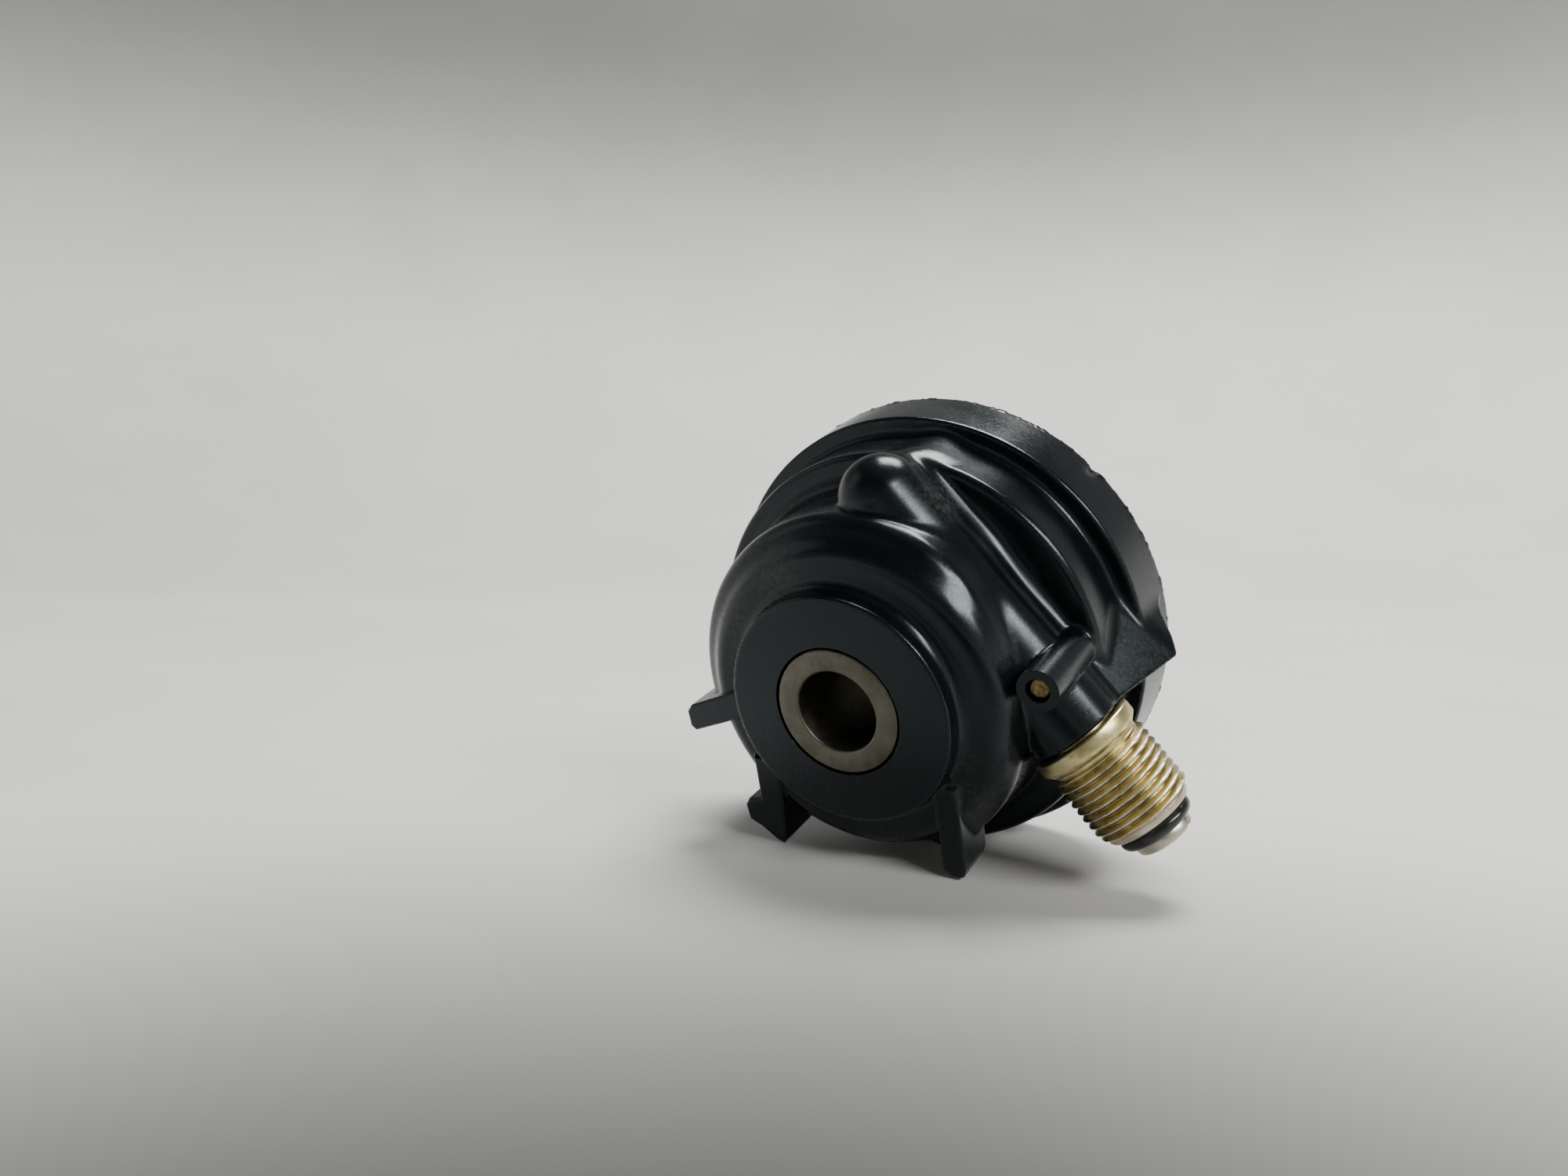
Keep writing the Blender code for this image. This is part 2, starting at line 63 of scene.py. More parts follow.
# ------------------------------------------------------------------ mesh helpers
def mesh_object(name, verts_mm, faces, smooth=40.0):
    me = bpy.data.meshes.new(name)
    v = row(verts_mm)
    faces = np.asarray(faces, np.int32)
    k = faces.shape[1]
    me.vertices.add(len(v))
    me.vertices.foreach_set("co", v.astype(np.float32).ravel())
    me.loops.add(faces.size)
    me.loops.foreach_set("vertex_index", faces.ravel())
    me.polygons.add(len(faces))
    me.polygons.foreach_set("loop_start", np.arange(0, faces.size, k, dtype=np.int32))
    me.update(calc_edges=True)
    me.shade_smooth()
    if smooth:
        me.set_sharp_from_angle(angle=math.radians(smooth))
    ob = bpy.data.objects.new(name, me)
    bpy.context.scene.collection.objects.link(ob)
    return ob


def lathe(profile, steps, place, closed=True):
    """Vertices and quads of a (radius, height) profile turned about an axis; place maps (x, y, h) to the axle frame."""
    prof = np.asarray(profile, float)
    n = len(prof)
    a = 2 * np.pi * np.arange(steps) / steps
    r, h = prof[:, 0][:, None], prof[:, 1][:, None]
    pts = np.stack([r * np.cos(a), r * np.sin(a), np.broadcast_to(h, (n, steps))], -1).reshape(-1, 3)
    i, j = np.meshgrid(np.arange(n if closed else n - 1), np.arange(steps), indexing="ij")
    i2, j2 = (i + 1) % n, (j + 1) % steps
    faces = np.stack([i * steps + j, i * steps + j2, i2 * steps + j2, i2 * steps + j], -1).reshape(-1, 4)
    return place(pts), faces


def on_axle(p):
    return np.stack([p[:, 0], p[:, 2], -p[:, 1]], -1)


def on_pinion(p):
    """Local x along Q, local y along P x Q, local z along P from the pinion point."""
    s, w, t = p[:, 2], p[:, 0] + PINION_W, p[:, 1]
    # P x Q = (PX,0,PZ) x (QX,0,QZ) points along +Y
    cy = PZ * QX - PX * QZ
    return np.stack([PX * s + QX * w, PINION_Y + cy * t, PZ * s + QZ * w], -1)


def outward(ob):
    """Faces point out of a closed mesh."""
    me = ob.data
    n = len(me.vertices)
    co = np.empty(n * 3, np.float32)
    me.vertices.foreach_get("co", co)
    co = co.reshape(-1, 3).astype(float)
    me.calc_loop_triangles()
    t = np.empty(len(me.loop_triangles) * 3, np.int32)
    me.loop_triangles.foreach_get("vertices", t)
    a, b, c = (co[t.reshape(-1, 3)[:, i]] for i in range(3))
    if np.einsum("ij,ij->i", a, np.cross(b, c)).sum() < 0:
        me.flip_normals()
    return ob


def rounded_profile(points, radius=0.25, steps=4):
    """Rounds each corner of a closed (radius, height) profile."""
    p = np.asarray(points, float)
    out = []
    n = len(p)
    for i in range(n):
        a, b, c = p[i - 1], p[i], p[(i + 1) % n]
        u, v = a - b, c - b
        lu, lv = np.hypot(*u), np.hypot(*v)
        u, v = u / lu, v / lv
        cosang = float(np.clip(u @ v, -1, 1))
        if cosang < -0.985:
            out.append(b)
            continue
        half = 0.5 * math.acos(cosang)
        d = min(radius / math.tan(half), 0.45 * lu, 0.45 * lv)
        rr = d * math.tan(half)
        centre = b + (u + v) / np.hypot(*(u + v)) * (rr / math.sin(half))
        s0, s1 = b + u * d - centre, b + v * d - centre
        a0, a1 = math.atan2(s0[1], s0[0]), math.atan2(s1[1], s1[0])
        da = (a1 - a0 + math.pi) % (2 * math.pi) - math.pi
        for k in range(steps + 1):
            ang = a0 + da * k / steps
            out.append(centre + rr * np.array([math.cos(ang), math.sin(ang)]))
    return np.array(out)


# ------------------------------------------------------------------ signed distance tools
def smin(a, b, k):
    h = np.clip(0.5 + 0.5 * (b - a) / k, 0, 1)
    return b * (1 - h) + a * h - k * h * (1 - h)


def smax(a, b, k):
    return -smin(-a, -b, k)


def rcyl(r, y, radius, y0, y1, rho, draft=0.0):
    rr = radius + draft * (y - y0)
    dx = r - (rr - rho)
    dy = np.abs(y - (y0 + y1) / 2) - ((y1 - y0) / 2 - rho)
    return np.hypot(np.maximum(dx, 0), np.maximum(dy, 0)) + np.minimum(np.maximum(dx, dy), 0) - rho


def cyl(r, h, radius, h0, h1):
    return np.maximum(r - radius, np.abs(h - (h0 + h1) / 2) - (h1 - h0) / 2)


def polygon(x, z, corners):
    """Signed distance to a closed polygon in X and Z."""
    d2 = np.full(x.shape, 1e9)
    inside = np.zeros(x.shape, bool)
    n = len(corners)
    for i in range(n):
        ax, az = corners[i - 1]
        bx, bz = corners[i]
        ex, ez = bx - ax, bz - az
        wx, wz = x - ax, z - az
        t = np.clip((wx * ex + wz * ez) / (ex * ex + ez * ez), 0, 1)
        d2 = np.minimum(d2, (wx - ex * t) ** 2 + (wz - ez * t) ** 2)
        if abs(ez) > 1e-9:
            cross = ((az > z) != (bz > z)) & (x < ex * (z - az) / ez + ax)
            inside ^= cross
    d = np.sqrt(d2)
    return np.where(inside, -d, d)


def extruded(flat, y, y0, y1, rho):
    """Rounded slab of a flat distance between two heights."""
    a, b = flat + rho, np.abs(y - (y0 + y1) / 2) - (y1 - y0) / 2 + rho
    return np.hypot(np.maximum(a, 0), np.maximum(b, 0)) + np.minimum(np.maximum(a, b), 0) - rho


def ray(deg):
    a = math.radians(deg)
    return (math.cos(a), math.sin(a)), (-math.sin(a), math.cos(a))


SIDE_TAB = [(-13.0, 0.7), (-22.9, -3.0), (-23.6, -3.9), (-23.5, -5.9), (-22.8, -6.5), (-13.0, -3.0)]
TOE_TAB = [(-14.35, -9.0), (-14.35, -14.9), (-16.3, -15.3), (-16.9, -16.2), (-16.6, -18.3), (-14.9, -19.1), (-12.9, -20.6), (-11.9, -21.0), (-11.35, -20.3), (-10.7, -9.0)]
LOW_TAB = [(10.1, -9.0), (10.1, -19.9), (10.7, -20.6), (12.1, -20.95), (12.7, -20.6), (12.95, -19.8), (12.95, -9.0)]
BOSS_S, BOSS_W, BOSS_R, BOSS_Y = 11.35, 19.9, 2.4, 4.2


def housing_distance(p):
    """Distance to the housing, negative inside the material. p is (n, 3) in axle-frame mm."""
    x, y, z = p[:, 0], p[:, 1], p[:, 2]
    r = np.hypot(x, z)
    s, w = x * PX + z * PZ, x * QX + z * QZ
    # stepped body
    d = smin(rcyl(r, y, 14.07, 0.0, 12.0, 0.35, 0.03), rcyl(r, y, 19.3, 2.7, 22.0, 2.2, 0.02), 1.6)
    _, fl = ray(197.6)
    _, fb = ray(292.8)
    sector = np.minimum(x * fl[0] + z * fl[1], -(x * fb[0] + z * fb[1]))
    # the shoulder is cut back beside the pinion tube, so the tube stands clear of it along its length
    turn = np.degrees(np.arctan2(z, x)) - 20.0
    shoulder_r = 21.7 - 2.2 * np.exp(-((turn / np.where(turn > 0, 30.0, 62.0)) ** 2))
    d = smin(d, smax(rcyl(r, y, shoulder_r, 4.4, 24.0, 2.4, 0.035), sector, 1.0), 1.2)
    d = smin(d, rcyl(r, y, 25.9, 16.0, 31.0, 0.9, 0.02), 2.5)
    # flange, with a ragged parting line at its back edge
    ang = np.arctan2(z, x)
    flash = 0.0
    for k, (n, ph) in enumerate(((37, 0.3), (61, 1.7), (97, 4.1), (149, 2.2), (211, 5.3))):
        flash = flash + np.sin(n * ang + ph) * 0.42 / (1 + 0.35 * k)
    lip = 0.16 * np.maximum(flash, 0) * np.exp(-((31.55 - y) / 0.35) ** 2)
    nick = 0.35 * np.exp(-((r - 28.8) ** 2) / 1.2 - ((ang - math.radians(43.5)) * 28.8) ** 2 / 0.5 - (y - 31.0) ** 2 / 1.5)
    d = smin(d, rcyl(r, y, 28.35, 23.6, 31.7, 0.4, 0.06) - lip + nick, 1.0)
    # pinion tube with its domed end
    cy, cw = y - PINION_Y, w - PINION_W
    tube = np.sqrt(cy**2 + cw**2 + (s - np.maximum(s, -15.5)) ** 2) - (5.2 + 0.004 * (s + 15.5))
    tube = smax(tube, s - 18.7, 0.3)
    # slanted wall and gusset that carry the tube back to the flange
    wall = smin(20.45 + 0.42 * (y - 14.1), 21.9 + 0.09 * (s + 13.5) + 0.03 * (y - 16.0), 0.6)
    block = smax((w - wall) * 0.93, -(s + 19.3), 6.5)
    block = smax(block, s - (18.7 + 0.13 * np.maximum(y - 15.0, 0)), 0.25)
    block = smax(block, (s + 1.17 * (y - 24.5) - 19.9) / 1.54, 0.4)
    block = np.maximum(block, np.maximum.reduce([8.0 - w, 13.0 - y, y - 30.6]))
    tube = smin(tube, block, 0.9)
    boss = np.maximum(np.hypot(s - BOSS_S, w - BOSS_W) - BOSS_R, np.maximum(BOSS_Y - y, y - 18.0))
    tube = smin(tube, boss, 0.3)
    d = smin(d, tube, 0.7)
    # locating tabs
    d = smin(d, extruded(polygon(x, z, SIDE_TAB), y, 2.05, 8.6, 0.35), 0.5)
    d = smin(d, extruded(polygon(x, z, TOE_TAB), y, 2.0, 8.65, 0.35), 0.5)
    d = smin(d, extruded(polygon(x, z, LOW_TAB), y, 1.95, 8.55, 0.45), 0.6)
    # the inside
    inner = np.minimum.reduce([
        cyl(r, y, 8.0, -3.0, 5.0), cyl(r, y, 13.8, 4.0, 18.5), cyl(r, y, 23.4, 17.8, 27.0), cyl(r, y, 24.6, 26.5, 34.0),
        (r - 24.6 - (y - 31.2)) * 0.7 + 100.0 * (y < 31.0),
    ])
    rp = np.hypot(cy, cw)
    bores = np.minimum.reduce([cyl(rp, s, 2.3, -15.2, -7.0), cyl(rp, s, 4.3, -7.2, 7.4), cyl(rp, s, 4.55, 7.2, 22.0)])
    inner = np.minimum(inner, bores)
    inner = np.minimum(inner, cyl(rp, s, 6.85, 18.76, 32.0))
    inner = np.minimum(inner, cyl(np.hypot(s - BOSS_S, w - BOSS_W), y, 1.37, 1.0, 16.3))
    for a0, a1 in ((108.0, 188.0), (-56.0, -30.0)):
        mid, half = math.radians((a0 + a1) / 2), math.radians((a1 - a0) / 2)
        off = np.abs((ang - mid + math.pi) % (2 * math.pi) - math.pi) - half
        inner = np.minimum(inner, np.maximum.reduce([off * 17.0, np.abs(r - 17.4) - 1.8, np.abs(y - 13.5) - 5.5]))
    return np.maximum(d, -inner)


def gradient(p, e=0.02):
    g = np.empty_like(p)
    for k in range(3):
        o = np.zeros(3)
        o[k] = e
        g[:, k] = housing_distance(p + o) - housing_distance(p - o)
    return g / np.maximum(np.linalg.norm(g, axis=1, keepdims=True), 1e-9)


def contour(h):
    """Dual contouring of housing_distance on a grid of h mm."""
    lo = np.array([-29.9, -0.77, -29.9])
    hi = np.array([34.2, 32.9, 29.9])
    n = np.ceil((hi - lo) / h).astype(int) + 1
    xs, ys, zs = (lo[k] + h * np.arange(n[k]) for k in range(3))
    f = np.empty(tuple(n), np.float32)
    yz = np.stack(np.meshgrid(ys, zs, indexing="ij"), -1).reshape(-1, 2)
    for i0 in range(0, n[0], 12):
        xi = xs[i0:i0 + 12]
        p = np.empty((len(xi), len(yz), 3))
        p[:, :, 0] = xi[:, None]
        p[:, :, 1:] = yz
        f[i0:i0 + 12] = housing_distance(p.reshape(-1, 3)).reshape(len(xi), n[1], n[2])
    f[np.abs(f) < 1e-5] = 1e-5
    inside = f < 0
    ncell = n - 1
    acc_n = np.zeros(int(ncell.prod()), np.int32)
    ata = np.zeros((int(ncell.prod()), 6), np.float32)
    atb = np.zeros((int(ncell.prod()), 3), np.float32)
    mass = np.zeros((int(ncell.prod()), 3), np.float32)
    quads = []
    stride = np.array([ncell[1] * ncell[2], ncell[2], 1])
    for axis in range(3):
        a = [slice(None)] * 3
        b = [slice(None)] * 3
        a[axis], b[axis] = slice(0, -1), slice(1, None)
        idx = np.argwhere(inside[tuple(a)] != inside[tuple(b)])
        o1, o2 = (axis + 1) % 3, (axis + 2) % 3
        keep = (idx[:, o1] > 0) & (idx[:, o2] > 0) & (idx[:, o1] < ncell[o1]) & (idx[:, o2] < ncell[o2])
        idx = idx[keep]
        j = idx.copy()
        j[:, axis] += 1
        fa, fb_ = f[tuple(idx.T)], f[tuple(j.T)]
        t = fa / (fa - fb_)
        base = lo + idx * h
        pt = base.copy()
        pt[:, axis] += t * h
        # sharpen the crossing along the edge
        for _ in range(2):
            fp = housing_distance(pt)
            left = (fp < 0) == (fa < 0)
            fa = np.where(left, fp, fa)
            ta = np.where(left, t, 0.0) if _ == 0 else np.where(left, t, ta)
            fb_ = np.where(left, fb_, fp)
            tb = np.where(left, 1.0, t) if _ == 0 else np.where(left, tb, t)
            t = ta + (tb - ta) * np.clip(fa / np.where(np.abs(fa - fb_) < 1e-12, 1e-12, fa - fb_), 0.0, 1.0)
            pt[:, axis] = base[:, axis] + t * h
        nn = gradient(pt)
        dd = np.einsum("ij,ij->i", nn, pt)
        cells = []
        for s1, s2 in ((0, 0), (1, 0), (1, 1), (0, 1)):
            c = idx.copy()
            c[:, o1] -= s1
            c[:, o2] -= s2
            flat = c @ stride
            cells.append(flat)
            np.add.at(acc_n, flat, 1)
            np.add.at(mass, flat, pt)
            np.add.at(ata, flat, np.stack([nn[:, 0] ** 2, nn[:, 0] * nn[:, 1], nn[:, 0] * nn[:, 2], nn[:, 1] ** 2, nn[:, 1] * nn[:, 2], nn[:, 2] ** 2], -1))
            np.add.at(atb, flat, nn * dd[:, None])
        q = np.stack(cells, -1)
        flip = f[tuple(idx.T)] < 0
        q[flip] = q[flip][:, ::-1]
        quads.append(q)
    quads = np.concatenate(quads)
    used = np.nonzero(acc_n)[0]
    remap = np.full(len(acc_n), -1, np.int64)
    remap[used] = np.arange(len(used))
    m = mass[used] / acc_n[used][:, None]
    m = m.astype(float)
    A = ata[used].astype(float)
    M = np.empty((len(used), 3, 3))
    M[:, 0, 0], M[:, 0, 1], M[:, 0, 2] = A[:, 0], A[:, 1], A[:, 2]
    M[:, 1, 0], M[:, 1, 1], M[:, 1, 2] = A[:, 1], A[:, 3], A[:, 4]
    M[:, 2, 0], M[:, 2, 1], M[:, 2, 2] = A[:, 2], A[:, 4], A[:, 5]
    rhs = atb[used].astype(float) - np.einsum("nij,nj->ni", M, m)
    reg = 0.06
    M[:, [0, 1, 2], [0, 1, 2]] += reg
    v = m + np.linalg.solve(M, rhs[..., None])[..., 0]
    cell = np.stack(np.unravel_index(used, tuple(ncell)), -1)
    low = lo + cell * h
    v = np.clip(v, low - 0.1 * h, low + 1.1 * h)
    return v, remap[quads]


def shaded_by_distance(ob, verts_mm, faces, along=0.25):
    """Custom normals from the distance field, read a little towards each face's middle so that edges stay crisp."""
    v = verts_mm
    mid = v[faces].mean(1)
    p = v[faces] * (1 - along) + mid[:, None, :] * along
    n = gradient(p.reshape(-1, 3), 0.03) @ REST.T
    ob.data.normals_split_custom_set(n.astype(np.float32))


GRID = 0.36
verts, faces = contour(GRID)
fc = verts[faces]
fn = np.cross(fc[:, 2] - fc[:, 0], fc[:, 3] - fc[:, 1])
turn_over = np.einsum("ij,ij->i", fn, gradient(fc.mean(1))) < 0
if turn_over.mean() > 0.5:
    faces = faces[:, ::-1].copy()
housing = mesh_object("housing_shell", verts, faces, smooth=0)
shaded_by_distance(housing, verts, faces)
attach(housing, "case")
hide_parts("housing")


# ------------------------------------------------------------------ cable fitting with a real helical thread
def fitting_profile():
    """(radius, s) round the closed section of the fitting, finely spaced where the thread runs."""
    outside = [(2.45, 7.5), (3.85, 7.5), (4.25, 7.9), (4.25, 9.85), (2.9, 9.85), (2.9, 12.85), (4.25, 12.85), (4.25, 14.4), (3.05, 14.4), (3.05, 16.2), (4.25, 16.2), (4.25, 18.95),
               (5.95, 18.95), (6.12, 19.0), (6.22, 19.12), (6.25, 19.3), (6.25, 20.35), (6.2, 20.5), (5.62, 21.1), (5.4, 21.2), (5.36, 21.45)]
    thread = [(None, s) for s in np.arange(21.5, 30.25, 0.045)]
    tail = [(5.3, 30.3), (5.28, 30.6), (5.2, 30.75), (4.95, 30.92), (4.85, 30.95), (2.9, 30.95), (2.9, 32.65), (3.4, 32.65), (3.49, 32.7), (3.52, 32.8), (3.52, 33.4), (3.46, 33.6), (3.2, 33.8), (3.1, 33.85),
            (2.75, 33.85), (2.65, 33.82), (2.6, 33.7), (2.6, 26.6), (2.25, 26.6), (2.25, 7.7)]
    return outside + thread + tail


def build_fitting():
    prof = fitting_profile()
    steps = 144
    a = 2 * np.pi * np.arange(steps) / steps
    rings = []
    for r, s in prof:
        if r is None:
            turn = (s - a / (2 * np.pi)) % 1.0
            tooth = 1.0 - np.abs(turn - 0.5) * 2.0
            tooth = np.clip((tooth - 0.08) / 0.84, 0, 1)
            tooth = tooth * tooth * (3 - 2 * tooth) * 0.25 + tooth * 0.75
            fade = min(1.0, max(0.0, (s - 21.6) / 0.55)) * min(1.0, max(0.0, (30.2 - s) / 0.5))
            top = 6.0 - 0.45 * max(0.0, (s - 29.55)) - 0.02 * np.sin(3.0 * a + 2.0 * s)
            wear = 0.035 * (np.sin(17 * a + 5.1 * s) * np.sin(11 * a - 3.3 * s + 1.0) > 0.55)
            rr = 5.34 + (top - 5.34 - wear) * tooth * fade
        else:
            rr = np.full(steps, r)
        rings.append(np.stack([rr * np.cos(a), rr * np.sin(a), np.full(steps, s)], -1))
    pts = np.concatenate(rings)
    n = len(rings)
    i, j = np.meshgrid(np.arange(n), np.arange(steps), indexing="ij")
    i2, j2 = (i + 1) % n, (j + 1) % steps
    faces = np.stack([i * steps + j, i * steps + j2, i2 * steps + j2, i2 * steps + j], -1).reshape(-1, 4)
    return outward(mesh_object("fitting_body", on_pinion(pts), faces, smooth=28.0))


fitting = build_fitting()
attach(fitting, "case")
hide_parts("cable_fitting")
# keyway across the end of the spigot
key_pts = np.array([[x, t, s] for x in (2.2, 4.6) for t in (-0.55, 0.55) for s in (32.45, 35.0)])
key = mesh_object("keyway_cutter", on_pinion(key_pts), [(0, 1, 3, 2), (4, 6, 7, 5), (0, 4, 5, 1), (2, 3, 7, 6), (0, 2, 6, 4), (1, 5, 7, 3)], smooth=0)
outward(key)
cut = fitting.modifiers.new("keyway", "BOOLEAN")
cut.operation, cut.solver, cut.object = "DIFFERENCE", "EXACT", key
bpy.context.view_layer.update()
dg = bpy.context.evaluated_depsgraph_get()
cut_mesh = bpy.data.meshes.new_from_object(fitting.evaluated_get(dg))
fitting.modifiers.clear()
old = fitting.data
fitting.data = cut_mesh
fitting.data.name = "fitting_body"
bpy.data.objects.remove(key, do_unlink=True)


def turned_piece(name, profile, steps, place, node, body="case", radius=0.2, smooth=35.0):
    v, f = lathe(rounded_profile(profile, radius), steps, place)
    ob = outward(mesh_object(name, v, f, smooth))
    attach(ob, body)
    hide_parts(node)
    return ob


sleeve = turned_piece("sleeve_body", [(5.0, 0.0), (7.75, 0.0), (7.75, 23.3), (7.0, 23.3), (7.0, 25.0), (7.75, 25.0), (7.75, 31.4), (5.0, 31.4)], 160, on_axle, "axle_sleeve", radius=0.3)
seal_case = turned_piece("seal_case_ring", [(23.6, 26.8), (24.3, 26.8), (24.3, 31.4), (21.4, 31.4), (21.4, 30.7), (23.6, 30.7)], 160, on_axle, "seal_case", radius=0.3)
seal = turned_piece("dust_seal_ring", [
    (23.3, 26.9), (23.3, 30.4), (21.1, 30.4), (21.1, 31.3), (20.4, 31.5), (18.0, 30.8), (17.5, 30.2), (18.4, 29.3),
    (18.5, 27.2), (20.2, 26.9), (20.4, 29.6), (22.3, 29.6), (22.5, 26.9)], 160, on_axle, "dust_seal", radius=0.3)


def ring_piece(name, major, minor, at, place, node, steps=120, sides=24, squash=1.0, wobble=0.0):
    a = 2 * np.pi * np.arange(sides) / sides
    prof = np.stack([major + minor * np.cos(a), at + squash * minor * np.sin(a)], -1)
    v, f = lathe(prof, steps, lambda p: p)
    if wobble:
        th = np.arctan2(v[:, 1], v[:, 0])
        k = 1 + wobble * np.sin(2 * th + 0.7)
        v[:, 0] *= k
        v[:, 1] *= k
    ob = outward(mesh_object(name, place(v), f, 0))
    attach(ob, "case")
    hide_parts(node)
    return ob


spigot_ring = ring_piece("spigot_ring", 3.78, 0.80, 31.78, on_pinion, "spigot_o_ring")
shank_ring = ring_piece("shank_ring", 3.8, 0.48, 15.3, on_pinion, "shank_o_ring")

# garter spring behind the seal lip, a closed coil
turns, per = 110, 10
k = np.arange(turns * per)
ta, tb = 2 * np.pi * k / (turns * per), 2 * np.pi * k / per
wire, coil_r, major = 0.1, 0.34, 21.35
cx = (major + coil_r * np.cos(tb))
centre = np.stack([cx * np.cos(ta), cx * np.sin(ta), 28.6 + coil_r * np.sin(tb)], -1)
tangent = np.roll(centre, -1, 0) - np.roll(centre, 1, 0)
tangent /= np.linalg.norm(tangent, axis=1, keepdims=True)
out_dir = np.stack([np.cos(tb) * np.cos(ta), np.cos(tb) * np.sin(ta), np.sin(tb)], -1)
side = np.cross(tangent, out_dir)
side /= np.linalg.norm(side, axis=1, keepdims=True)
up = np.cross(side, tangent)
sides = 5
rings = [centre + wire * (math.cos(2 * math.pi * q / sides) * up + math.sin(2 * math.pi * q / sides) * side) for q in range(sides)]
pts = np.stack(rings, 1).reshape(-1, 3)
i, j = np.meshgrid(np.arange(len(k)), np.arange(sides), indexing="ij")
i2, j2 = (i + 1) % len(k), (j + 1) % sides
spring = outward(mesh_object("garter_spring", on_axle(pts), np.stack([i * sides + j, i * sides + j2, i2 * sides + j2, i2 * sides + j], -1).reshape(-1, 4), 0))
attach(spring, "case")
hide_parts("seal_spring")

# retaining pin with a roughly sheared end
steps = 56
prof = [(0.001, 4.74), (0.3, 4.74), (0.6, 4.73), (0.85, 4.75), (1.0, 4.8), (1.1, 4.9), (1.15, 5.05), (1.15, 10.0), (1.15, 15.8), (1.05, 15.9), (0.001, 15.9)]
v, f = lathe(prof, steps, lambda p: p, closed=False)
rng = np.random.default_rng(7)
top = v[:, 2] < 4.95
v[top, 2] += 0.05 * np.sin(7.3 * v[top, 0] + 1.1) * np.cos(6.1 * v[top, 1]) + 0.018 * rng.standard_normal(int(top.sum())) * (np.hypot(v[top, 0], v[top, 1]) > 0.1)


def on_boss(p):
    sx = PX * BOSS_S + QX * BOSS_W
    sz = PZ * BOSS_S + QZ * BOSS_W
    return np.stack([sx + p[:, 0], p[:, 2], sz - p[:, 1]], -1)


pin = outward(mesh_object("pin_body", on_boss(v), f, 50.0))
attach(pin, "case")
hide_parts("retaining_pin")


# ------------------------------------------------------------------ materials
def node_material(name):
    m = bpy.data.materials.new(name)
    m.use_nodes = True
    nt = m.node_tree
    return m, nt, nt.nodes["Principled BSDF"]


def link(nt, a, b):
    nt.links.new(a, b)


def coords(nt, scale=1.0):
    tc = nt.nodes.new("ShaderNodeTexCoord")
    mp = nt.nodes.new("ShaderNodeMapping")
    mp.inputs["Scale"].default_value = (scale,) * 3 if np.isscalar(scale) else scale
    link(nt, tc.outputs["Object"], mp.inputs["Vector"])
    return mp.outputs["Vector"]


def noise(nt, vec, scale, detail=3.0, rough=0.5, distortion=0.0):
    n = nt.nodes.new("ShaderNodeTexNoise")
    n.inputs["Scale"].default_value = scale
    n.inputs["Detail"].default_value = detail
    n.inputs["Roughness"].default_value = rough
    n.inputs["Distortion"].default_value = distortion
    link(nt, vec, n.inputs["Vector"])
    return n.outputs["Fac"]


def ramp(nt, fac, stops):
    r = nt.nodes.new("ShaderNodeValToRGB")
    el = r.color_ramp.elements
    while len(el) < len(stops):
        el.new(0.5)
    for e, (pos, col) in zip(el, stops):
        e.position = pos
        e.color = (*col, 1.0) if not np.isscalar(col) else (col, col, col, 1.0)
    link(nt, fac, r.inputs["Fac"])
    return r.outputs["Color"]


def span(nt, fac, a0, a1, b0, b1):
    r = nt.nodes.new("ShaderNodeMapRange")
    for k, v_ in zip(("From Min", "From Max", "To Min", "To Max"), (a0, a1, b0, b1)):
        r.inputs[k].default_value = v_
    link(nt, fac, r.inputs["Value"])
    return r.outputs["Result"]


def math_node(nt, op, a, b):
    m = nt.nodes.new("ShaderNodeMath")
    m.operation = op
    for k, v_ in enumerate((a, b)):
        if np.isscalar(v_):
            m.inputs[k].default_value = v_
        else:
            link(nt, v_, m.inputs[k])
    return m.outputs["Value"]


def mix(nt, fac, a, b):
    m = nt.nodes.new("ShaderNodeMix")
    m.data_type = "RGBA"
    link(nt, fac, m.inputs["Factor"]) if not np.isscalar(fac) else setattr(m.inputs["Factor"], "default_value", fac)
    for key_, v_ in (("A", a), ("B", b)):
        sock = [s_ for s_ in m.inputs if s_.name == key_ and s_.type == "RGBA"][0]
        if isinstance(v_, tuple):
            sock.default_value = (*v_, 1.0)
        else:
            link(nt, v_, sock)
    return [s_ for s_ in m.outputs if s_.type == "RGBA"][0]


def bump(nt, bsdf, height, strength, distance, previous=None):
    b = nt.nodes.new("ShaderNodeBump")
    b.inputs["Strength"].default_value = strength
    b.inputs["Distance"].default_value = distance
    link(nt, height, b.inputs["Height"])
    if previous is not None:
        link(nt, previous, b.inputs["Normal"])
    link(nt, b.outputs["Normal"], bsdf.inputs["Normal"])
    return b.outputs["Normal"]


def blob(nt, centre_mm, radius_mm):
    """1 at a point of the object, falling to 0 at a distance."""
    c = row([centre_mm])[0]
    tc = nt.nodes.new("ShaderNodeTexCoord")
    d = nt.nodes.new("ShaderNodeVectorMath")
    d.operation = "DISTANCE"
    link(nt, tc.outputs["Object"], d.inputs[0])
    d.inputs[1].default_value = tuple(float(v_) for v_ in c)
    return span(nt, d.outputs["Value"], 0.0, radius_mm * 0.001, 1.0, 0.0)


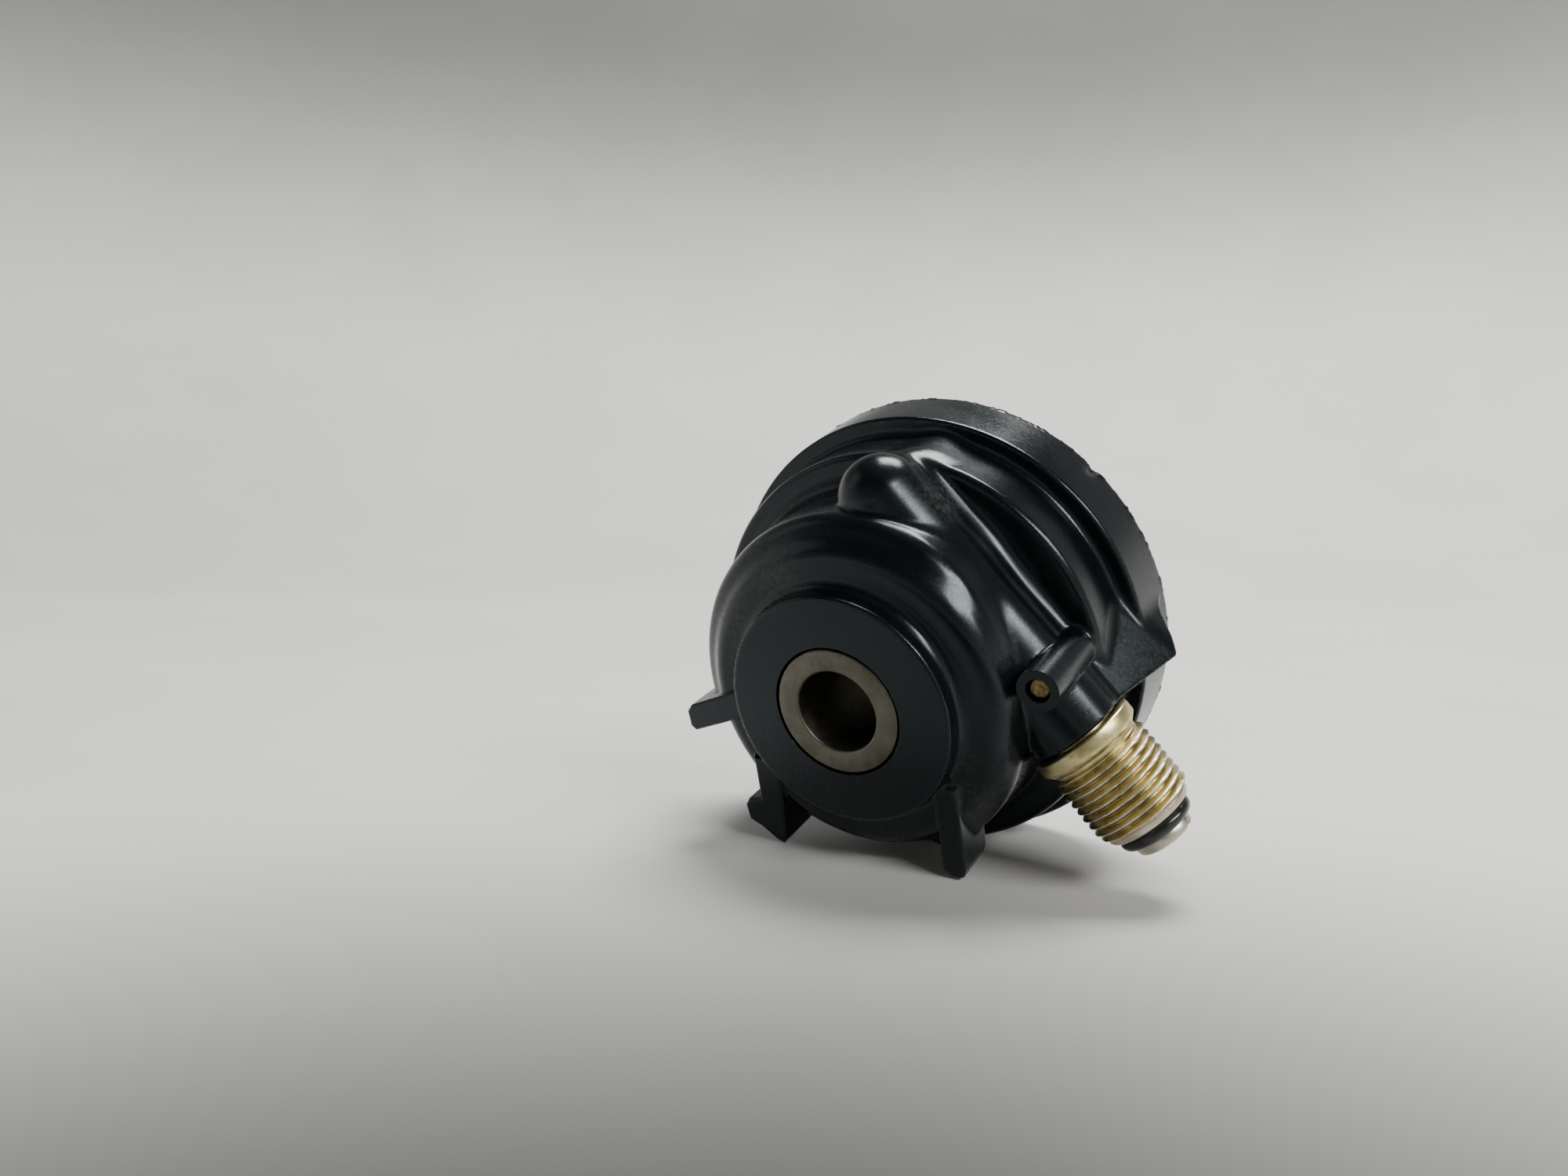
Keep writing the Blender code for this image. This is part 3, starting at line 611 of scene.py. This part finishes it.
def plastic():
    m, nt, b = node_material("moulded_black_plastic")
    vec = coords(nt)
    fine = noise(nt, vec, 2600.0, 2.0)
    peel = noise(nt, vec, 620.0, 3.0, 0.55)
    broad = noise(nt, vec, 90.0, 4.0, 0.6, 0.4)
    specks = noise(nt, vec, 1500.0, 4.0, 0.7)
    base = ramp(nt, broad, [(0.3, (0.0022, 0.0034, 0.0044)), (0.7, (0.0042, 0.0056, 0.0068))])
    # lighter speckled patches on the shoulder, round the hub and on the pinion tube near its dome: partly dust, partly
    # a painted sheen where the highlights fall on them
    dust_and_sheen = None
    for c, rad in (((13.2, 5.2, -9.6), 4.2), ((14.3, 5.4, -5.5), 4.0), ((-15.5, 4.2, 9.5), 7.0), ((-8.0, 3.6, 15.0), 6.0), ((8.4, 13.0, 20.6), 4.0)):
        f_ = blob(nt, c, rad)
        dust_and_sheen = f_ if dust_and_sheen is None else math_node(nt, "MAXIMUM", dust_and_sheen, f_)
    dust_and_sheen = math_node(nt, "MULTIPLY", dust_and_sheen, span(nt, specks, 0.38, 0.66, 0.0, 1.0))
    dust_and_sheen = math_node(nt, "MULTIPLY", dust_and_sheen, 0.85)
    grains = span(nt, noise(nt, vec, 3400.0, 1.0), 0.78, 0.84, 0.0, 0.20)
    grains_dust_and_sheen = math_node(nt, "MAXIMUM", dust_and_sheen, grains)
    # the pale grey mixed in here is grains and dust, and over the highlights a painted sheen
    link(nt, mix(nt, grains_dust_and_sheen, base, (0.055, 0.056, 0.052)), b.inputs["Base Color"])
    rough = math_node(nt, "ADD", span(nt, broad, 0.3, 0.7, 0.19, 0.28), math_node(nt, "MULTIPLY", grains_dust_and_sheen, 0.35))
    rough = math_node(nt, "ADD", rough, span(nt, fine, 0.3, 0.7, -0.03, 0.04))
    link(nt, rough, b.inputs["Roughness"])
    b.inputs["IOR"].default_value = 1.5
    b.inputs["Specular IOR Level"].default_value = 0.34
    b.inputs["Specular Tint"].default_value = (0.84, 0.96, 1.0, 1.0)
    n1 = bump(nt, b, peel, 0.22, 0.00004)
    n2 = bump(nt, b, fine, 0.14, 0.00002, n1)
    # hair scratches
    st = coords(nt, (1.0, 0.16, 1.0))
    scr = noise(nt, st, 1900.0, 2.0, 0.6, 1.5)
    bump(nt, b, span(nt, scr, 0.66, 0.72, 0.0, 1.0), 0.15, 0.00003, n2)
    return m


def rubber():
    m, nt, b = node_material("black_rubber_skin")
    vec = coords(nt)
    f1 = noise(nt, vec, 1500.0, 3.0)
    link(nt, ramp(nt, f1, [(0.35, (0.006, 0.006, 0.007)), (0.7, (0.014, 0.014, 0.015))]), b.inputs["Base Color"])
    link(nt, span(nt, noise(nt, vec, 500.0), 0.3, 0.7, 0.16, 0.34), b.inputs["Roughness"])
    bump(nt, b, f1, 0.25, 0.00003)
    return m


def steel(name, low, high, r0, r1, tint=None, turned=0.25):
    m, nt, b = node_material(name)
    vec = coords(nt)
    broad = noise(nt, vec, 260.0, 5.0, 0.65)
    fine = noise(nt, vec, 2400.0, 4.0, 0.7)
    base = ramp(nt, broad, [(0.32, low), (0.68, high)])
    if tint is not None:
        spots = span(nt, noise(nt, vec, 700.0, 5.0, 0.75), 0.56, 0.68, 0.0, 0.75)
        base = mix(nt, spots, base, tint)
    link(nt, base, b.inputs["Base Color"])
    b.inputs["Metallic"].default_value = 1.0
    link(nt, span(nt, math_node(nt, "ADD", math_node(nt, "MULTIPLY", broad, 0.6), math_node(nt, "MULTIPLY", fine, 0.4)), 0.35, 0.65, r0, r1), b.inputs["Roughness"])
    bump(nt, b, fine, turned, 0.00004)
    return m


def fitting_metal():
    """Yellow passivated steel, brown in the thread's roots and stains, bright on its worn crests."""
    m, nt, b = node_material("yellow_passivated_thread")
    vec = coords(nt)
    broad = noise(nt, vec, 210.0, 4.0, 0.6, 0.3)
    fine = noise(nt, vec, 2100.0, 4.0, 0.65)
    base = ramp(nt, broad, [(0.30, (0.50, 0.42, 0.19)), (0.52, (0.64, 0.57, 0.31)), (0.74, (0.40, 0.28, 0.09))])
    # distance from the thread's axis, in the row frame
    o = row([[QX * PINION_W, PINION_Y, QZ * PINION_W]])[0]
    d = REST @ np.array([PX, 0.0, PZ])
    tc = nt.nodes.new("ShaderNodeTexCoord")
    sub = nt.nodes.new("ShaderNodeVectorMath")
    sub.operation = "SUBTRACT"
    link(nt, tc.outputs["Object"], sub.inputs[0])
    sub.inputs[1].default_value = tuple(float(v_) for v_ in o)
    dot = nt.nodes.new("ShaderNodeVectorMath")
    dot.operation = "DOT_PRODUCT"
    link(nt, sub.outputs["Vector"], dot.inputs[0])
    dot.inputs[1].default_value = tuple(float(v_) for v_ in d)
    length = nt.nodes.new("ShaderNodeVectorMath")
    length.operation = "LENGTH"
    link(nt, sub.outputs["Vector"], length.inputs[0])
    r2 = math_node(nt, "SUBTRACT", math_node(nt, "MULTIPLY", length.outputs["Value"], length.outputs["Value"]), math_node(nt, "MULTIPLY", dot.outputs["Value"], dot.outputs["Value"]))
    radius = math_node(nt, "SQRT", math_node(nt, "MAXIMUM", r2, 0.0), 0.0)
    along = dot.outputs["Value"]
    in_thread = math_node(nt, "MULTIPLY", span(nt, along, 0.0212, 0.0216, 0.0, 1.0), span(nt, along, 0.0301, 0.0305, 1.0, 0.0))
    crest = math_node(nt, "MULTIPLY", span(nt, radius, 0.00580, 0.00596, 0.0, 1.0), in_thread)
    crest = math_node(nt, "MULTIPLY", crest, span(nt, fine, 0.30, 0.48, 0.35, 1.0))
    root = math_node(nt, "MULTIPLY", span(nt, radius, 0.00565, 0.00538, 0.0, 1.0), in_thread)
    grime = math_node(nt, "MULTIPLY", root, span(nt, noise(nt, vec, 480.0, 3.0), 0.35, 0.62, 0.15, 0.85))
    col = mix(nt, grime, base, (0.30, 0.19, 0.06))
    col = mix(nt, crest, col, (0.80, 0.79, 0.75))
    # bare steel on the land and the spigot
    bare = span(nt, along, 0.0299, 0.0303, 0.0, 0.9)
    col = mix(nt, bare, col, (0.52, 0.50, 0.43))
    stain = math_node(nt, "MULTIPLY", span(nt, noise(nt, vec, 850.0, 5.0, 0.75), 0.57, 0.70, 0.0, 0.8), span(nt, along, 0.0300, 0.0320, 1.0, 0.5))
    col = mix(nt, stain, col, (0.34, 0.17, 0.04))
    link(nt, col, b.inputs["Base Color"])
    b.inputs["Metallic"].default_value = 1.0
    link(nt, math_node(nt, "ADD", span(nt, broad, 0.3, 0.7, 0.24, 0.38), math_node(nt, "MULTIPLY", stain, 0.3)), b.inputs["Roughness"])
    bump(nt, b, math_node(nt, "ADD", fine, math_node(nt, "MULTIPLY", stain, -0.5)), 0.35, 0.00005)
    return m


def brass():
    m, nt, b = node_material("dull_brass")
    vec = coords(nt)
    f1 = noise(nt, vec, 1700.0, 5.0, 0.75)
    link(nt, ramp(nt, f1, [(0.3, (0.12, 0.08, 0.03)), (0.55, (0.36, 0.27, 0.11)), (0.75, (0.50, 0.40, 0.20))]), b.inputs["Base Color"])
    b.inputs["Metallic"].default_value = 0.85
    link(nt, span(nt, f1, 0.3, 0.7, 0.62, 0.42), b.inputs["Roughness"])
    bump(nt, b, f1, 0.8, 0.00012)
    return m


def nylon():
    m, nt, b = node_material("natural_nylon_gear")
    vec = coords(nt)
    f1 = noise(nt, vec, 400.0, 4.0, 0.6)
    link(nt, ramp(nt, f1, [(0.3, (0.60, 0.55, 0.42)), (0.7, (0.74, 0.70, 0.60))]), b.inputs["Base Color"])
    link(nt, span(nt, noise(nt, vec, 900.0), 0.3, 0.7, 0.35, 0.5), b.inputs["Roughness"])
    b.inputs["Subsurface Weight"].default_value = 0.1
    b.inputs["Subsurface Scale"].default_value = 0.001
    bump(nt, b, noise(nt, vec, 2200.0, 2.0), 0.3, 0.00003)
    return m


PLASTIC, RUBBER_M, BRASS_M, NYLON_M = plastic(), rubber(), brass(), nylon()
SLEEVE_M = steel("turned_sleeve_steel", (0.085, 0.081, 0.064), (0.155, 0.149, 0.120), 0.34, 0.50, (0.11, 0.075, 0.04))
BRIGHT_M = steel("bright_ground_steel", (0.50, 0.49, 0.46), (0.68, 0.67, 0.64), 0.20, 0.34)
PLATE_M = steel("pressed_plate_steel", (0.40, 0.37, 0.30), (0.56, 0.53, 0.45), 0.30, 0.48, (0.24, 0.16, 0.07))
FITTING_M = fitting_metal()


def dress(ob, mat):
    ob.data.materials.clear()
    ob.data.materials.append(mat)


for ob, mat in ((housing, PLASTIC), (fitting, FITTING_M), (sleeve, SLEEVE_M), (seal_case, PLATE_M), (seal, RUBBER_M), (spigot_ring, RUBBER_M), (shank_ring, RUBBER_M), (spring, BRIGHT_M), (pin, BRASS_M)):
    dress(ob, mat)
for name, mat in (("drive_gear", NYLON_M), ("pinion_gear", NYLON_M), ("meter_clutch", PLATE_M), ("gear_washer_front", BRIGHT_M), ("gear_washer_rear", BRIGHT_M), ("snap_ring", BRIGHT_M),
                  ("pinion_washer_inner", BRIGHT_M), ("pinion_washer_outer", BRIGHT_M), ("pinion_shaft", BRIGHT_M)):
    dress(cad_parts[name], mat)

# ------------------------------------------------------------------ floor, light, camera
def floor_material():
    m, nt, b = node_material("pale_floor")
    vec = coords(nt)
    f1 = noise(nt, vec, 9.0, 3.0)
    pale = ramp(nt, f1, [(0.35, (0.76, 0.757, 0.735)), (0.65, (0.81, 0.807, 0.785))])
    # painted shade: the floor's colour darkens round the spot under the camera as a painted shadow, darkens up the
    # curved back wall, and darkens far out towards the front
    tc = nt.nodes.new("ShaderNodeTexCoord")
    sep = nt.nodes.new("ShaderNodeSeparateXYZ")
    link(nt, tc.outputs["Object"], sep.inputs[0])
    d = nt.nodes.new("ShaderNodeVectorMath")
    d.operation = "DISTANCE"
    link(nt, tc.outputs["Object"], d.inputs[0])
    d.inputs[1].default_value = (0.066, -0.115, FLOOR_Z)
    # painted shadow round the spot on the floor under the camera
    painted_camera_shadow = span(nt, d.outputs["Value"], 0.045, 0.185, 0.02, 1.0)
    painted_camera_shadow.node.interpolation_type = "SMOOTHSTEP"
    # painted shade, darker up the curved back wall
    high = span(nt, sep.outputs["Z"], FLOOR_Z + 0.12, FLOOR_Z + 0.46, 1.0, 0.20)
    high.node.interpolation_type = "SMOOTHSTEP"
    # painted shade, darker far out towards the front
    front = span(nt, sep.outputs["Y"], -0.75, -0.40, 0.45, 1.0)
    shade = math_node(nt, "MULTIPLY", math_node(nt, "MULTIPLY", painted_camera_shadow, high), front)
    link(nt, mix(nt, shade, (0.0, 0.0, 0.0), pale), b.inputs["Base Color"])
    b.inputs["Roughness"].default_value = 0.6
    return m


floor_me = bpy.data.meshes.new("floor")
# a round floor that curves up into a low wall
profile = [(0.0, 0.0), (0.15, 0.0), (0.30, 0.0), (0.45, 0.0), (0.55, 0.0)]
profile += [(0.55 + 0.35 * math.sin(math.radians(a)), 0.35 - 0.35 * math.cos(math.radians(a))) for a in range(9, 91, 9)] + [(0.90, 0.7), (0.90, 1.2)]
fv, ff = [], []
TURNS = 72
for i in range(TURNS):
    a = 2 * math.pi * i / TURNS
    for rho, z_ in profile:
        fv.append((rho * math.sin(a), rho * math.cos(a), FLOOR_Z + z_))
n = len(profile)
for i in range(TURNS):
    j = (i + 1) % TURNS
    for k_ in range(n - 1):
        ff.append((i * n + k_, i * n + k_ + 1, j * n + k_ + 1, j * n + k_))
floor_me.from_pydata(fv, [], ff)
fb_ = bmesh.new()
fb_.from_mesh(floor_me)
bmesh.ops.remove_doubles(fb_, verts=fb_.verts[:], dist=1e-5)
bmesh.ops.recalc_face_normals(fb_, faces=fb_.faces[:])
fb_.to_mesh(floor_me)
fb_.free()
floor_me.shade_smooth()
floor = bpy.data.objects.new("floor", floor_me)
bpy.context.scene.collection.objects.link(floor)
dress(floor, floor_material())


def area(name, where, target, size, power, colour=(1, 1, 1), size_y=None):
    l = bpy.data.lights.new(name, "AREA")
    l.shape = "RECTANGLE"
    l.size, l.size_y = size, size_y or size
    l.energy = power
    l.color = colour
    o = bpy.data.objects.new(name, l)
    o.location = where
    o.rotation_mode = "QUATERNION"
    o.rotation_quaternion = (Vector(target) - Vector(where)).to_track_quat("-Z", "Y")
    bpy.context.scene.collection.objects.link(o)
    return o


# a window high at the right, seen by the moulding as a long bright streak, and a dim room in front
area("window", (0.394, -0.128, 0.28), (0.0, 0.01, 0.0), 0.30, 2.1, (1.0, 0.995, 0.985), 0.09)
area("ceiling", (0.0, 0.34, 0.92), (-0.05, 0.40, 0.0), 0.50, 14.0, (1.0, 0.995, 0.985), 0.40)
area("left_card", (-0.50, -0.22, 0.34), (0.0, 0.0, 0.0), 0.30, 0.15, (0.96, 0.98, 1.0), 0.30)

world = bpy.data.worlds.new("studio")
world.use_nodes = True
world.node_tree.nodes["Background"].inputs["Color"].default_value = (0.90, 0.95, 1.0, 1.0)
world.node_tree.nodes["Background"].inputs["Strength"].default_value = 0.10
bpy.context.scene.world = world

cam_data = bpy.data.cameras.new("camera")
cam_data.lens, cam_data.sensor_width = 27.0, 36.0
cam_data.clip_start, cam_data.clip_end = 0.005, 20.0
cam = bpy.data.objects.new("camera", cam_data)
bpy.context.scene.collection.objects.link(cam)
pos = row([[66.1, -101.76, 58.32]])[0]
view_dir = REST @ np.array([-0.5377, 0.7755, -0.3308])
up_dir = REST @ np.array([-0.0596, 0.3564, 0.9324])
view_dir /= np.linalg.norm(view_dir)
right = np.cross(view_dir, up_dir)
right /= np.linalg.norm(right)
up_dir = np.cross(right, view_dir)
cam.matrix_world = Matrix((
    (right[0], up_dir[0], -view_dir[0], pos[0]),
    (right[1], up_dir[1], -view_dir[1], pos[1]),
    (right[2], up_dir[2], -view_dir[2], pos[2]),
    (0, 0, 0, 1)))
bpy.context.scene.camera = cam

bpy.context.view_layer.update()
